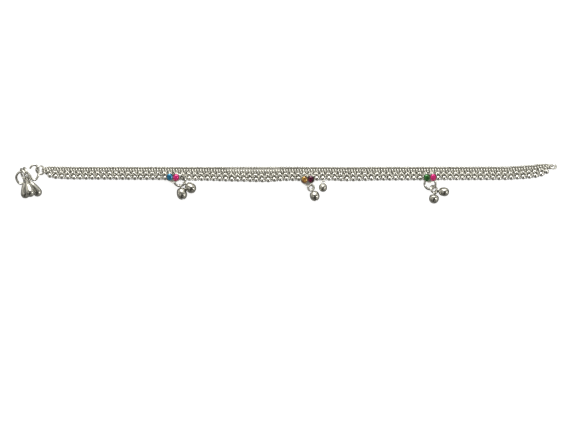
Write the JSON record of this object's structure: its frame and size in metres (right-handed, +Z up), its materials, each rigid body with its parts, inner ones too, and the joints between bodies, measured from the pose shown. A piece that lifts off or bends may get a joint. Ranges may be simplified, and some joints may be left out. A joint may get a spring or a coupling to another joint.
{
  "type": "payal anklet",
  "caption": "Open woven silver anklet with a beaded edge, heart charms set with stones, small hanging bells, a wire hook at one end and a ring at the other.",
  "frame": {"origin": "on the flat underside of the woven band, near the middle of its length, where it rests on a surface", "axes": "+X along the band towards the end ring, +Y across it away from the bead row, +Z up from the surface"},
  "size_m": [0.2669, 0.0196, 0.0096],
  "materials": {
    "woven_silver": "woven fine wire, bright on its ridges and dark between them",
    "bead_silver": "polished",
    "wire_silver": "polished wire",
    "bell_silver": "polished sheet with light wear",
    "setting_silver": "cast, tarnished in its recesses",
    "stone_blue": "cut and polished",
    "stone_pink": "cut and polished",
    "stone_yellow": "cut and polished",
    "stone_maroon": "cut and polished",
    "stone_green": "cut and polished"
  },
  "bodies": {
    "root": {"woven_band": "woven_silver", "bead_row": "bead_silver", "end_link_left": "wire_silver", "s_hook": "wire_silver", "bunch_ring_1": "wire_silver", "bunch_ring_2": "wire_silver", "bunch_bell_1": "bell_silver", "bunch_bell_2": "bell_silver", "bunch_bell_3": "bell_silver", "drop_ring_1": "wire_silver", "heart_setting_1": "setting_silver", "stone_1_left": "stone_blue", "stone_1_right": "stone_pink", "drop_bell_1a": "bell_silver", "drop_bell_1b": "bell_silver", "drop_ring_2": "wire_silver", "heart_setting_2": "setting_silver", "stone_2_left": "stone_yellow", "stone_2_right": "stone_maroon", "drop_bell_2a": "bell_silver", "drop_bell_2b": "bell_silver", "drop_ring_3": "wire_silver", "heart_setting_3": "setting_silver", "stone_3_left": "stone_green", "stone_3_right": "stone_pink", "drop_ring_3b": "wire_silver", "drop_bell_3a": "bell_silver", "drop_bell_3b": "bell_silver", "end_ring_right": "wire_silver"}
  },
  "joints": []
}
